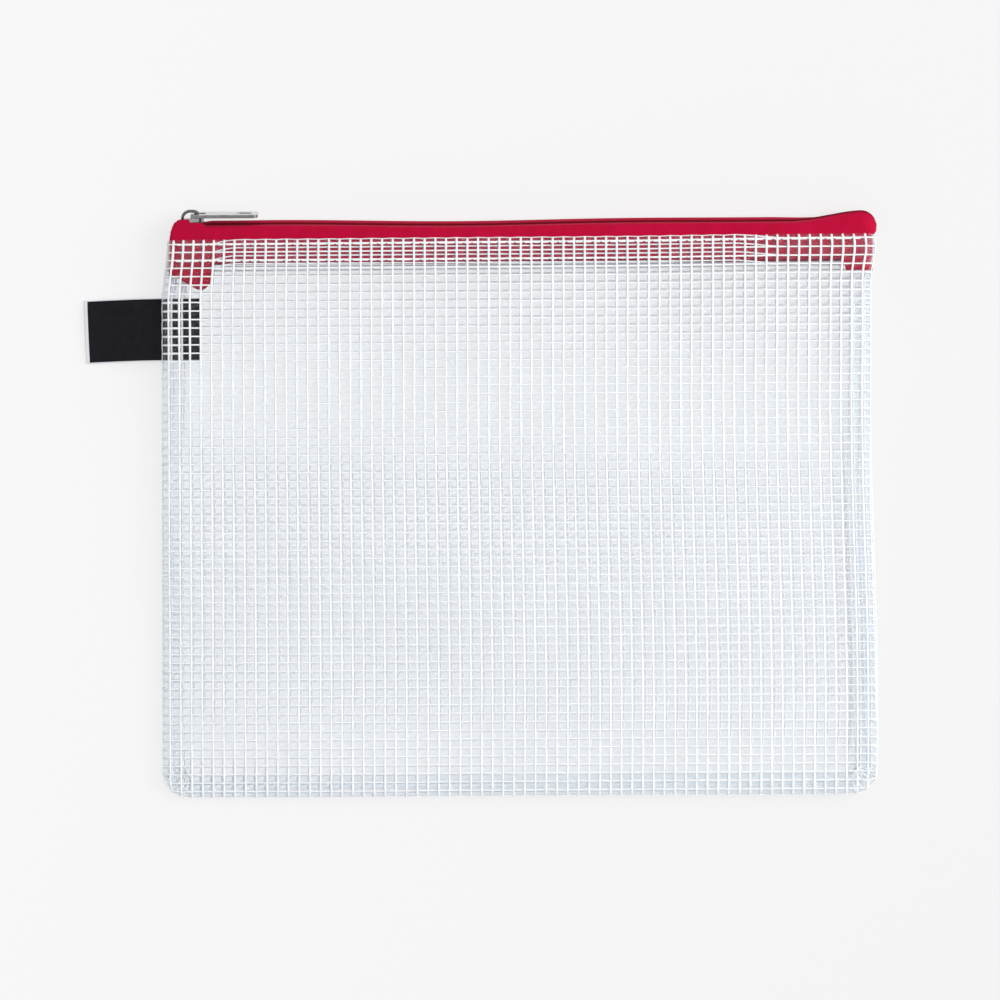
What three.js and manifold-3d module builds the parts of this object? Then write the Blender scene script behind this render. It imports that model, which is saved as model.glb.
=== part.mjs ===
// Mesh zipper pouch lying on its back, in millimetres. +X runs along the zipper, +Y points from the
// bottom seam to the zipper and +Z is up. The origin is the middle of the pouch on its underside.
// Two film panels are sewn together inside out and turned, so their seam allowances lie inside.
// A zipper with its coil on the inner side closes the mouth and is seen on edge from above.
import * as THREE from "three";
import { mergeVertices } from "three/addons/utils/BufferGeometryUtils.js";
import Module from "manifold-3d";

const wasm = await Module();
wasm.setup();

// Film panels
const pouchWidth = 240;
const panelHeight = 188.8; // bottom edge to the folded top of the hem
const bottomThickness = 5.5; // over both panels, just above the bottom edge
const filmThickness = 0.4;
const cornerRadius = 9;
const edgeRound = 3; // how far in from the edge the film starts to turn
const seamAllowance = 7;
const seamTurn = 0.45; // radius at which the film turns in along the seam
const seamGap = 0.3; // between the two allowances
const seamLowHeight = 2.6; // seam line above the underside, at the bottom edge
const seamHighHeight = 6; // and at the mouth
const hemDepth = 9;
const hemGap = 0.1; // between the two layers of a hem

// Zipper tape
const zipperTilt = THREE.MathUtils.degToRad(16); // how far the zipper's face leans up from +Y
const chainRise = 4.9; // centre line of the chain above the folded top of the hems
const tapeThickness = 0.5;
const tapeHalfWidth = 15.8; // centre line to the sewn edge, along the tape
const tapeGap = 1.2; // between the woven edges, bridged by the coil
const tapeStraight = 3.9; // centre line to the start of the bend
const tapeBend = 1.2; // radius of the bend towards the panel
const tapeClearance = 0.15; // tape to hem
const tapeEndInset = 0.6; // side edge of the pouch to the end of the tape
const tapeEndRound = 2.8; // length over which the end closes onto the side seam
const tapeEndGap = 1.6; // between the two halves where the end has closed
const endDraw = 4; // how far the crest is drawn in where the end has closed
const lobeLength = 9.3; // side edge of the pouch to where the right end starts to curl out
const lobePeak = 5.2; // and to where it is furthest out
const lobeLift = 3.4;
const lobeFlatten = 0.35; // share by which the lobe closes towards the seam
const leftTuckDepth = 9; // extra width of the tape end folded down inside
const leftTuckLength = 13;
const rightTuckDepth = 3;
const rightTuckLength = 8;

// Coil
const coilPitch = 1.3;
const coilThickness = 1;
const coilClearance = 0.3; // tape to coil, and coil to slider
const coilOuter = 2.4; // centre line to the outer edge of a row
const coilRoot = 1.3; // centre line to the root of the teeth
const coilReach = 0.75; // how far the teeth pass the centre line
const toothRootWidth = 0.36;
const toothTipWidth = 0.56;
const coilRightMargin = 12; // side edge of the pouch to the end of the coil
const coilParting = 1.4; // how far each row steps aside round the wedge
const partingLength = 1.8;

// Slider
const sliderLength = 8.1;
const sliderWidth = 7.4;
const sliderRearWidth = 6.9;
const sliderCorner = 2.2;
const sliderPlate = 1;
const sliderEdgeBevel = 0.12;
const sliderInset = 9.8; // side edge of the pouch to the middle of the closed slider
const flangeLength = 2.8;
const flangeWidth = 0.65;
const wedgeLength = 3.4;
const wedgeWidth = 0.7;
const wedgeTaper = 1.2;
const noseMargin = 0.25; // front of the slider to the wedge
const bailLength = 6.8;
const bailWire = 0.8;
const bailWidth = 1.6;
const bailCorner = 2.8;
const bailHeight = 3.6; // over the upper plate
const plateSink = 0.3; // how deep the bail and the posts are let into a plate

// Pull tab
const pullLength = 22.8;
const pullWidth = 6.2;
const pullThickness = 1.2;
const pullBevel = 0.15;
const pullEndRadius = 2;
const pullShift = 0.5; // middle of the bail to the pivot
const pullPivotHeight = 1.8; // over the upper plate
const eyeBar = 0.6; // half the width of the bar that turns in the bail
const eyeLength = 3.9;
const eyeWidth = 2.2;
const pullSlotLength = 5;
const pullSlotWidth = 2;
const pullSlotMargin = 2.1;

// Ribbon label
const labelWidth = 20.9;
const labelOverhang = 26.9; // side edge of the pouch to the fold
const labelTail = 12.7; // side edge of the pouch to the ends inside
const labelDrop = 31.2; // folded top of the hem to its middle
const labelThickness = 0.25;
const labelSpread = 0.6; // between the middles of its two layers
const labelClearance = 0.15;
const labelTipHeight = 1.1;

// Counts
const cornerSteps = 4;
const roundSteps = 4;
const turnSteps = 2;
const foldSteps = 4;
const lobeSteps = 4;
const sideSteps = 6;
const bottomSteps = 8;

// Places that follow from the sizes
const sin = Math.sin(zipperTilt);
const cos = Math.cos(zipperTilt);
const halfWidth = pouchWidth / 2;
const bottomY = -(panelHeight + chainRise + tapeStraight * sin) / 2;
const panelTopY = bottomY + panelHeight;
const foldRadius = (filmThickness + hemGap) / 2;
const foldY = panelTopY - foldRadius - filmThickness / 2;
const hemStack = 2 * filmThickness + hemGap;
const backTapeHeight = hemStack + tapeClearance + tapeThickness / 2;
const labelGap = labelSpread + labelThickness + 2 * labelClearance;
const labelY = panelTopY - labelDrop;

// Centre of the chain: the back half of the tape comes to rest just above the back hem.
const chainY = panelTopY + chainRise;
const chainZ = backTapeHeight - arcEnd(-1).z;
const tapeEndX = halfWidth - tapeEndInset;
const sliderX = -halfWidth + sliderInset;
const flangeRear = sliderLength / 2 - sliderEdgeBevel - sliderCorner / 6;
const partingX = sliderX + flangeRear - flangeLength + coilClearance;

// Point where the bend of a half tape ends, from the centre of the chain. half is 1 for the
// front and -1 for the back.
function arcEnd(half) {
  return arcPoint(half, Math.PI / 2 - half * zipperTilt);
}

function arcPoint(half, angle) {
  const along = tapeStraight + tapeBend * Math.sin(angle);
  const inward = tapeBend * (1 - Math.cos(angle));
  return { y: -half * along * sin - inward * cos, z: half * along * cos - inward * sin };
}

// Middle surface of the front film. It slopes straight from the mouth to the bottom.
const mouth = { y: chainY + arcEnd(1).y, z: chainZ + arcEnd(1).z };
const frontOffset = tapeThickness / 2 + tapeClearance + hemStack - filmThickness / 2;
const bottomHeight = bottomThickness - filmThickness / 2;
const frontSlope = (mouth.z + frontOffset - bottomHeight) / (mouth.y - bottomY);

function frontHeight(y) {
  return bottomHeight + frontSlope * (y - bottomY);
}

function backHeight() {
  return filmThickness / 2;
}

function seamHeight(y) {
  return seamLowHeight + ((seamHighHeight - seamLowHeight) * (y - bottomY)) / panelHeight;
}

// Gap between the two seam allowances, which opens round the label on the left.
function allowanceGap(x, y) {
  const away = Math.abs(y - labelY) - labelWidth / 2 - 1;
  const near = x < 0 ? 1 - THREE.MathUtils.smoothstep(away, 0, seamAllowance) : 0;
  return seamGap + (labelGap - seamGap) * near;
}

// Meshes

// Closed sheet of a given thickness on patches of its middle surface. A patch is a grid of points,
// and patches that share points join there.
function sheet(patches, thickness) {
  const corners = [];
  for (const rows of patches) {
    for (let i = 0; i + 1 < rows.length; i++) {
      for (let j = 0; j + 1 < rows[i].length; j++) {
        const [a, b, c, d] = [rows[i][j], rows[i][j + 1], rows[i + 1][j + 1], rows[i + 1][j]];
        corners.push(a, b, c, a, c, d);
      }
    }
  }
  const skin = mergeVertices(new THREE.BufferGeometry().setFromPoints(corners), 1e-3);
  skin.computeVertexNormals();
  const faces = [...skin.index.array];
  const count = skin.attributes.position.count;
  const point = new THREE.Vector3();
  const normal = new THREE.Vector3();
  const points = [];
  for (const side of [0.5, -0.5]) {
    for (let i = 0; i < count; i++) {
      point.fromBufferAttribute(skin.attributes.position, i);
      normal.fromBufferAttribute(skin.attributes.normal, i);
      points.push(point.clone().addScaledVector(normal, side * thickness));
    }
  }
  const edges = new Set();
  for (let i = 0; i < faces.length; i += 3) {
    for (let k = 0; k < 3; k++) edges.add(faces[i + k] + "," + faces[i + ((k + 1) % 3)]);
  }
  const index = [...faces];
  for (let i = 0; i < faces.length; i += 3) {
    index.push(faces[i + 2] + count, faces[i + 1] + count, faces[i] + count);
  }
  for (const edge of edges) {
    const [from, to] = edge.split(",").map(Number);
    if (edges.has(to + "," + from)) continue;
    index.push(to, from, from + count, to, from + count, to + count);
  }
  return new THREE.BufferGeometry().setFromPoints(points).setIndex(index);
}

function solidOf(geometry) {
  const bare = geometry.clone();
  bare.deleteAttribute("normal");
  bare.deleteAttribute("uv");
  const merged = mergeVertices(bare, 1e-4);
  return new wasm.Manifold(
    new wasm.Mesh({
      numProp: 3,
      vertProperties: new Float32Array(merged.attributes.position.array),
      triVerts: new Uint32Array(merged.index.array),
    }),
  );
}

function joined(geometries) {
  const solid = geometries.map(solidOf).reduce((whole, next) => whole.add(next));
  const mesh = solid.getMesh();
  const geometry = new THREE.BufferGeometry();
  geometry.setAttribute("position", new THREE.BufferAttribute(mesh.vertProperties, 3));
  geometry.setIndex([...mesh.triVerts]);
  return geometry;
}

function extruded(shape, depth, bevel = 0, curveSegments = 4) {
  return new THREE.ExtrudeGeometry(shape, {
    depth: depth - 2 * bevel,
    bevelEnabled: bevel > 0,
    bevelSize: bevel,
    bevelOffset: -bevel,
    bevelThickness: bevel,
    bevelSegments: 1,
    curveSegments,
  }).translate(0, 0, bevel);
}

function piece(name, geometry, color, roughness, metalness = 0) {
  const material = new THREE.MeshStandardMaterial({ color, roughness, metalness });
  const mesh = new THREE.Mesh(geometry, material);
  mesh.name = name;
  return mesh;
}

// Film panels

// Outline of a panel from the top of its left side, round the bottom, to the top of its right side.
// Each station has a point on the edge and the direction inwards from it.
function panelStations() {
  const cornerTop = bottomY + cornerRadius;
  const labelSpan = labelWidth / 2 + 1;
  const heights = [foldY, panelTopY - hemDepth];
  for (const away of [labelSpan + seamAllowance, labelSpan]) {
    heights.push(labelY + away, labelY - away);
  }
  for (let i = 1; i <= sideSteps; i++) {
    const from = labelY - labelSpan - seamAllowance;
    heights.push(from + ((cornerTop - from) * i) / sideSteps);
  }
  heights.sort((a, b) => b - a);
  const left = heights.map((y) => ({ x: -halfWidth, y, inX: 1, inY: 0 }));
  for (let i = 1; i <= cornerSteps; i++) {
    const angle = ((i / cornerSteps) * Math.PI) / 2;
    const inX = Math.cos(angle);
    const inY = Math.sin(angle);
    const x = -halfWidth + cornerRadius * (1 - inX);
    left.push({ x, y: cornerTop - cornerRadius * inY, inX, inY });
  }
  const start = -halfWidth + cornerRadius;
  const bottom = [];
  for (let i = 1; i < bottomSteps; i++) {
    bottom.push({ x: start - (2 * start * i) / bottomSteps, y: bottomY, inX: 0, inY: 1 });
  }
  const right = left.map((s) => ({ ...s, x: -s.x, inX: -s.inX })).reverse();
  return { left, loop: [...left, ...bottom, ...right] };
}

// The film rounds the edge, turns in along the seam and ends as the allowance inside.
function rimProfile(station, heightAt, side) {
  const { x, y, inX, inY } = station;
  const offset = side * (allowanceGap(x, y) / 2 + filmThickness / 2);
  const allowanceZ = seamHeight(y) + offset;
  const turnZ = allowanceZ + side * seamTurn;
  const topZ = heightAt(y + inY * edgeRound);
  const profile = [];
  const add = (inset, z) => {
    profile.push(new THREE.Vector3(x + inX * inset, y + inY * inset, z));
  };
  for (let i = 0; i <= roundSteps; i++) {
    const angle = ((i / roundSteps) * Math.PI) / 2;
    add(edgeRound * (1 - Math.sin(angle)), turnZ + (topZ - turnZ) * Math.cos(angle));
  }
  for (let i = 1; i <= turnSteps; i++) {
    const angle = ((i / turnSteps) * Math.PI) / 2;
    add(seamTurn * (1 - Math.cos(angle)), turnZ - side * seamTurn * Math.sin(angle));
  }
  add(seamAllowance, allowanceZ);
  return profile;
}

function panelRow(endX, y, z) {
  const row = [];
  for (let i = 0; i <= bottomSteps; i++) {
    row.push(new THREE.Vector3(endX - (2 * endX * i) / bottomSteps, y, z));
  }
  return row;
}

// side is 1 for the front panel, whose outer face is up, and -1 for the back panel.
function panel(heightAt, side) {
  const { left, loop } = panelStations();
  const field = left.map((station) => {
    const y = station.y + station.inY * edgeRound;
    return panelRow(station.x + station.inX * edgeRound, y, heightAt(y));
  });
  const rim = loop.map((station) => rimProfile(station, heightAt, side));
  const hemEnd = -halfWidth + edgeRound;
  const hem = [];
  for (let i = foldSteps; i >= 0; i--) {
    const angle = (i / foldSteps) * Math.PI;
    const drop = side * foldRadius * (1 - Math.cos(angle));
    hem.push(panelRow(hemEnd, foldY + foldRadius * Math.sin(angle), heightAt(foldY) - drop));
  }
  const hemY = panelTopY - hemDepth;
  hem.unshift(panelRow(hemEnd, hemY, heightAt(hemY) - side * 2 * foldRadius));
  const patches = [field, rim.map((row) => row.slice().reverse()), hem];
  const facing = side > 0 ? patches.map(flipped) : patches;
  return sheet(facing, filmThickness);
}

function flipped(rows) {
  return rows.map((row) => row.slice().reverse());
}

// Zipper tape

// Point of the middle of a half tape, a given distance from the centre line.
function tapePoint(x, distance, half) {
  const bend = Math.PI / 2 - half * zipperTilt;
  const bendEnd = tapeStraight + tapeBend * bend;
  let y;
  let z;
  if (distance <= tapeStraight) {
    y = chainY - half * distance * sin;
    z = chainZ + half * distance * cos;
  } else if (distance <= bendEnd) {
    const at = arcPoint(half, (distance - tapeStraight) / tapeBend);
    y = chainY + at.y;
    z = chainZ + at.z;
  } else {
    y = chainY + arcEnd(half).y - (distance - bendEnd);
    z = half > 0 ? frontHeight(y) - frontOffset : backTapeHeight;
  }
  const crest = THREE.MathUtils.smoothstep(y, panelTopY, chainY);
  const lobe = THREE.MathUtils.smoothstep(x, halfWidth - lobeLength, halfWidth - lobePeak) * crest;
  y += lobeLift * lobe;
  z += (seamHeight(y) - z) * lobeFlatten * lobe;
  const closing = (Math.abs(x) - tapeEndX + tapeEndRound) / tapeEndRound;
  const open = Math.sqrt(1 - THREE.MathUtils.clamp(closing, 0, 1) ** 2);
  const closedZ = seamHeight(y) + (half * tapeEndGap) / 2;
  z = closedZ + (z - closedZ) * open;
  y -= endDraw * crest * (1 - open);
  return new THREE.Vector3(x, y, z);
}

// Width of a half tape at x. Its ends are folded further down inside: the fold is deepest a third
// of the way along and slants back towards the side seam.
function tapeWidthAt(x) {
  const [depth, length] = x < 0 ? [leftTuckDepth, leftTuckLength] : [rightTuckDepth, rightTuckLength];
  const along = THREE.MathUtils.clamp((Math.abs(x) - tapeEndX + length) / length, 0, 1);
  const deepest = 1 / 3;
  const share = along < deepest ? along / deepest : 1 - (along - deepest) / 2;
  return tapeHalfWidth + depth * share;
}

function tapeStationsX() {
  const places = [];
  for (let i = 0; i <= roundSteps; i++) {
    const angle = ((i / roundSteps) * Math.PI) / 2;
    const x = tapeEndX - tapeEndRound * (1 - Math.sin(angle));
    places.push(x, -x);
  }
  for (const part of [1 / 3, 2 / 3, 1]) {
    places.push(leftTuckLength * part - tapeEndX, tapeEndX - rightTuckLength * part);
  }
  for (let i = 0; i < lobeSteps; i++) {
    places.push(halfWidth - lobeLength + ((lobeLength - lobePeak) * i) / lobeSteps);
  }
  return places.sort((a, b) => a - b);
}

function tape(half) {
  const bend = Math.PI / 2 - half * zipperTilt;
  const bendEnd = tapeStraight + tapeBend * bend;
  const places = tapeStationsX();
  const rows = places.map((x) => {
    const distances = [tapeGap / 2, tapeStraight];
    for (let i = 1; i <= roundSteps; i++) {
      distances.push(tapeStraight + (tapeBend * bend * i) / roundSteps);
    }
    const flat = tapeWidthAt(x) - bendEnd;
    distances.push(bendEnd + flat / 2, bendEnd + flat);
    return distances.map((distance) => tapePoint(x, distance, half));
  });
  return sheet([half > 0 ? rows : flipped(rows)], tapeThickness);
}

// Coil, in the zipper's own frame: X along the chain, Y towards the back panel, Z out of the pouch

// How far a row steps aside at x to pass the wedge of the closed slider.
function partingAt(x) {
  return coilParting * THREE.MathUtils.smoothstep(partingX - x, 0, partingLength);
}

// One row of the coil as a comb with dovetailed teeth, half a pitch off the other row.
function coil(half) {
  const startX = sliderX - sliderLength / 2;
  const endX = halfWidth - coilRightMargin;
  const teeth = Math.floor((endX - startX) / coilPitch) - 1;
  const shift = half > 0 ? 0.5 : 1;
  const at = (x, away) => new THREE.Vector2(x, -half * (away + partingAt(x)));
  const outline = [];
  for (let i = 0; i < teeth; i++) {
    const x = startX + (i + shift) * coilPitch;
    outline.push(at(x - toothRootWidth / 2, coilRoot), at(x - toothTipWidth / 2, -coilReach));
    outline.push(at(x + toothTipWidth / 2, -coilReach), at(x + toothRootWidth / 2, coilRoot));
  }
  const last = startX + (teeth - 1 + shift) * coilPitch + toothTipWidth / 2;
  const first = startX + shift * coilPitch - toothTipWidth / 2;
  outline.push(at(last, coilOuter));
  for (let i = 0; i <= 3; i++) outline.push(at(partingX - (partingLength * i) / 3, coilOuter));
  outline.push(at(first, coilOuter));
  const top = -tapeThickness / 2 - coilClearance;
  return extruded(new THREE.Shape(outline), coilThickness).translate(0, 0, top - coilThickness);
}

// Slider, in the zipper's own frame with its middle at X 0 and its nose towards -X

const upperPlateZ = tapeThickness / 2 + coilClearance;
const lowerPlateZ = -tapeThickness / 2 - 2 * coilClearance - coilThickness;
const bailBaseZ = upperPlateZ + sliderPlate;

function plateShape() {
  const nose = -sliderLength / 2;
  const rear = sliderLength / 2;
  const wide = sliderWidth / 2;
  const narrow = sliderRearWidth / 2;
  const shape = new THREE.Shape();
  shape.moveTo(rear, -narrow + sliderCorner / 3);
  shape.lineTo(rear, narrow - sliderCorner / 3);
  shape.quadraticCurveTo(rear, narrow, rear - sliderCorner / 3, narrow);
  shape.lineTo(nose + sliderCorner, wide);
  shape.quadraticCurveTo(nose, wide, nose, wide - sliderCorner);
  shape.lineTo(nose, -wide + sliderCorner);
  shape.quadraticCurveTo(nose, -wide, nose + sliderCorner, -wide);
  shape.lineTo(rear - sliderCorner / 3, -narrow);
  shape.quadraticCurveTo(rear, -narrow, rear, -narrow + sliderCorner / 3);
  return shape;
}

// The wedge joins the two plates at the nose and parts the teeth.
function wedge() {
  const front = -sliderLength / 2 + noseMargin;
  const half = wedgeWidth / 2;
  const shape = new THREE.Shape();
  shape.moveTo(front, -half);
  shape.lineTo(front + wedgeLength - wedgeTaper, -half);
  shape.lineTo(front + wedgeLength, 0);
  shape.lineTo(front + wedgeLength - wedgeTaper, half);
  shape.lineTo(front, half);
  const bottom = lowerPlateZ - plateSink;
  return extruded(shape, upperPlateZ + plateSink - bottom).translate(0, 0, bottom);
}

// The flanges rise from the lower plate and hold the closed chain together.
function flange(side) {
  const height = -tapeThickness / 2 - coilClearance - lowerPlateZ + plateSink;
  const geometry = new THREE.BoxGeometry(flangeLength, flangeWidth, height);
  const outer = sliderRearWidth / 2 - sliderEdgeBevel;
  const x = flangeRear - flangeLength / 2;
  return geometry.translate(x, side * (outer - flangeWidth / 2), lowerPlateZ - plateSink + height / 2);
}

function bail() {
  const outer = bailLength / 2;
  const inner = outer - bailWire;
  const innerCorner = bailCorner - bailWire / 2;
  const innerTop = bailHeight - bailWire;
  const shape = new THREE.Shape();
  shape.moveTo(-outer, -plateSink);
  shape.lineTo(-inner, -plateSink);
  shape.lineTo(-inner, innerTop - innerCorner);
  shape.absarc(-inner + innerCorner, innerTop - innerCorner, innerCorner, Math.PI, Math.PI / 2, true);
  shape.absarc(inner - innerCorner, innerTop - innerCorner, innerCorner, Math.PI / 2, 0, true);
  shape.lineTo(inner, -plateSink);
  shape.lineTo(outer, -plateSink);
  shape.lineTo(outer, bailHeight - bailCorner);
  shape.absarc(outer - bailCorner, bailHeight - bailCorner, bailCorner, 0, Math.PI / 2);
  shape.absarc(-outer + bailCorner, bailHeight - bailCorner, bailCorner, Math.PI / 2, Math.PI);
  const geometry = extruded(shape, bailWidth, sliderEdgeBevel);
  return geometry.rotateX(Math.PI / 2).translate(0, bailWidth / 2, bailBaseZ);
}

function sliderBody() {
  const plate = () => extruded(plateShape(), sliderPlate, sliderEdgeBevel);
  return joined([
    plate().translate(0, 0, upperPlateZ),
    plate().translate(0, 0, lowerPlateZ - sliderPlate),
    wedge(),
    flange(1),
    flange(-1),
    bail(),
  ]);
}

// Pull tab, with its pivot at the origin and its blade along +X

function roundedRectangle(shape, x0, x1, half, radius) {
  shape.moveTo(x0 + radius, -half);
  shape.lineTo(x1 - radius, -half);
  shape.absarc(x1 - radius, -half + radius, radius, -Math.PI / 2, 0);
  shape.absarc(x1 - radius, half - radius, radius, 0, Math.PI / 2);
  shape.lineTo(x0 + radius, half);
  shape.absarc(x0 + radius, half - radius, radius, Math.PI / 2, Math.PI);
  shape.absarc(x0 + radius, -half + radius, radius, Math.PI, 1.5 * Math.PI);
  return shape;
}

function pullTab() {
  const end = pullLength - eyeBar;
  const shape = new THREE.Shape();
  shape.moveTo(-eyeBar, -pullWidth / 2 + eyeBar);
  shape.quadraticCurveTo(-eyeBar, -pullWidth / 2, 0, -pullWidth / 2);
  shape.lineTo(end - pullEndRadius, -pullWidth / 2);
  shape.absarc(end - pullEndRadius, -pullWidth / 2 + pullEndRadius, pullEndRadius, -Math.PI / 2, 0);
  shape.absarc(end - pullEndRadius, pullWidth / 2 - pullEndRadius, pullEndRadius, 0, Math.PI / 2);
  shape.lineTo(0, pullWidth / 2);
  shape.quadraticCurveTo(-eyeBar, pullWidth / 2, -eyeBar, pullWidth / 2 - eyeBar);
  const eye = roundedRectangle(new THREE.Path(), eyeBar, eyeBar + eyeLength, eyeWidth / 2, 0.5);
  const slotEnd = end - pullSlotMargin;
  const slotHalf = pullSlotWidth / 2;
  const slot = roundedRectangle(new THREE.Path(), slotEnd - pullSlotLength, slotEnd, slotHalf, slotHalf);
  shape.holes.push(eye, slot);
  return extruded(shape, pullThickness, pullBevel).translate(0, 0, -pullThickness / 2);
}

// Ribbon label: one ribbon folded at its outer end, both layers sewn into the left seam

function labelHeight(x, y) {
  const seamZ = seamHeight(y);
  const out = THREE.MathUtils.clamp((-halfWidth - x) / labelOverhang, 0, 1);
  return seamZ + (labelTipHeight - seamZ) * THREE.MathUtils.smoothstep(out, 0, 1);
}

function label() {
  const tail = -halfWidth + labelTail;
  const radius = labelSpread / 2;
  const tip = -halfWidth - labelOverhang + radius + labelThickness / 2;
  const places = [tail, -halfWidth];
  for (let i = 1; i <= 6; i++) places.push(-halfWidth + ((tip + halfWidth) * i) / 6);
  const path = places.map((x) => [x, radius]);
  for (let i = 1; i < 2 * turnSteps; i++) {
    const angle = (i / (2 * turnSteps)) * Math.PI;
    path.push([tip - radius * Math.sin(angle), radius * Math.cos(angle)]);
  }
  for (const x of places.reverse()) path.push([x, -radius]);
  const rows = path.map(([x, offset]) =>
    [1, 0, -1].map((side) => {
      const y = labelY + (side * labelWidth) / 2;
      return new THREE.Vector3(x, y, labelHeight(x, y) + offset);
    }),
  );
  return sheet([rows], labelThickness);
}

// Assembly

const film = 0xeef1f3;
const red = 0xb40c37;
const metal = 0xb9bcc0;
const black = 0x1f1f23;

const pouch = new THREE.Group();
pouch.add(
  piece("front_panel", panel(frontHeight, 1), film, 0.15),
  piece("back_panel", panel(backHeight, -1), film, 0.15),
  piece("tape_front", tape(1), red, 0.8),
  piece("tape_back", tape(-1), red, 0.8),
  piece("label_ribbon", label(), black, 0.7),
);

const zipper = new THREE.Group();
zipper.position.set(0, chainY, chainZ);
zipper.rotation.x = zipperTilt - Math.PI / 2;
zipper.add(
  piece("coil_front", coil(1), red, 0.5),
  piece("coil_back", coil(-1), red, 0.5),
);

const slider = new THREE.Group();
slider.position.x = sliderX;
slider.add(piece("slider_body", sliderBody(), metal, 0.3, 1));

const pull = piece("pull_tab", pullTab(), metal, 0.3, 1);
pull.position.set(pullShift, 0, bailBaseZ + pullPivotHeight);
slider.add(pull);
zipper.add(slider);
pouch.add(zipper);

export default pouch;
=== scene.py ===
import math

import bpy
import numpy as np
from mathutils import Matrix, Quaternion, Vector


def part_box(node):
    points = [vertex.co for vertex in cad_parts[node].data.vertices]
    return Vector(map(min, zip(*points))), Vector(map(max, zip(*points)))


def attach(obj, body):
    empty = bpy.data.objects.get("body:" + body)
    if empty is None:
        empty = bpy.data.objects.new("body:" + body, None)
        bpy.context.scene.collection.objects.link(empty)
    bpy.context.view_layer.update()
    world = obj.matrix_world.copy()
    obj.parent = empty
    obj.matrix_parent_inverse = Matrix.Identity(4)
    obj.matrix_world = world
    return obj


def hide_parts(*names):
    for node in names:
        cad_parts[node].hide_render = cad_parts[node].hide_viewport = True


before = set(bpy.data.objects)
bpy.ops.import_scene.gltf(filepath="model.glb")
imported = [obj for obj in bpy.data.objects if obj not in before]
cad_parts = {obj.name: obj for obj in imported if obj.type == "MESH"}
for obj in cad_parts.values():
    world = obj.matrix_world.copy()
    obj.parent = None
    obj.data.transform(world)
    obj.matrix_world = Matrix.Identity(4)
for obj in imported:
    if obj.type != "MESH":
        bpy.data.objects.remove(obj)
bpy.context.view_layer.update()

# The script works in millimetres and radians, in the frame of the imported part, and makes meshes in
# metres. Arrays of points have one point a row. A span is a pair of places between which something
# grows or fades.
MM = 0.001


def box_mm(node):
    """Corners of a node's box in millimetres."""
    low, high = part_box(node)
    return np.array(low) / MM, np.array(high) / MM


front_low, front_high = box_mm("front_panel")
coil_low, coil_high = box_mm("coil_front")
label_low, label_high = box_mm("label_ribbon")

# Film panels
half_width = front_high[0]
bottom_y = front_low[1]
mouth_y = front_high[1]
film_thickness = 0.16
corner_radius = 9
film_step = 3  # between the rows of points up the panel
film_columns = 81
corner_steps = 8
fold_lead = 0.5  # the close rows at the fold start this far before it
edge_round = 3  # how far in from the edge the film starts to turn
edge_wrap = 4.6  # length of film that the turn takes
allowance = 7
allowance_gap = 0.9  # between the middles of the two allowances
seam_turn = 0.45
seam_low, seam_high = 2.6, 6  # height of the seam at the bottom and at the mouth
front_low_z, front_mouth_z = 5.25, 12.15  # middle of the front film
back_z = 0.45
back_swell = 0.12
ripple_waves = 9
hem_calm, calm_span = 0.75, (mouth_y - 26, mouth_y - 10)  # the hem holds the film flatter
hem_depth = 9.6
hem_spacing = 0.5  # between the middles of the two layers
hem_step = 2.6

# How the laid pouch strays from a true rectangle
left_shift = 0.6
right_start, right_swing, right_span = -1, 2.7, (40, -75)
top_left_pull, top_left_power, top_left_span = 1.9, 9, (70, 91)
top_right_pull, top_right_power = 1.7, 16
top_right_y, top_right_reach = 87, 6
mouth_tilt = 0.0013
mouth_dip, dip_span_y, dip_span_x = 0.4, (40, 90), (30, 100)

# Mesh
column_pitch = 3.606
column_phase = -103.2
column_width = 0.73
row_pitch = 2.915
row_phase = 76.45
row_width = 0.5
thread_thickness = 0.3
weave_height = 0.08
strand_sides = 6  # round a thread or a filament
cut_margin, hem_margin = 0.3, 0.1  # a thread nearer than this to a cut edge is left out
turn_step, least_step = 0.8, 0.25  # along a thread, where it turns and anywhere
turn_margin = 5
before_fold, after_fold = 1, 2  # short steps round the fold of the hem
row_drop, row_drop_gain = 0.37, 0.63  # front rows near the mouth, at the left and more to the right
drop_span = 40, 68
row_squeeze, squeeze_low, squeeze_reach = 0.8, 81.5, 9
layers_part, layers_meet = (-104, -97), (72, 92)  # rows of the hem's two layers, from left to right
column_drift, drift_grows, drift_fades = 1.15, (50, -5), (-60, -95)  # back columns, downwards
row_slip_span = 50, -92  # the back rows slip by a whole pitch, downwards
stitch_pitch, stitch_length, stitch_width = 2.9, 2.3, 0.32
stitch_left, stitch_right = 4, 6  # left free at the ends of a row
stitch_rows = 1.5, 7.0  # below the fold of the hem
stitch_arch = np.array([-0.6, 0.3, 0.4, 0.3, -0.6])  # rise along a stitch, in its widths

# Zipper
chain_y = mouth_y + 4.9
chain_z = 6.58
chain_angle = math.radians(74)  # face of the tape over the table
tape_thickness = 0.45
tape_bend = 1.2
tape_gap = 0.9
edge_curl = 0.7  # how far the woven edges turn in along the centre line
edge_curl_reach = 0.9
groove_shade_start, groove_shade_end = 0.9, 1.9  # where the painted shade along the tape's edge at the centre line fades out, from the centre line
tape_drop = 1.1  # middle of the front film to the middle of the tape
back_tape_z = 1.3
tape_low_y = mouth_y - 8.3  # lower edge of the tape under the hem
tape_wave, tape_wave_reach, tape_wave_span = 0.12, 17, (-100, -80)
left_step, even_step, right_step = 0.5, 1.3, 0.6  # between the sections of a tape
even_start, even_end = -102, 90
chain_sag, chain_sag_x, chain_sag_reach = 0.65, -15, 45
slack_angle = math.radians(6)  # how far the back half leans away between its ends
slack_starts, slack_ends = (-107, -103), (84, 104)
lobe_start, lobe_end = 92, 117  # where the chain starts to curl out and is furthest out
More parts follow.
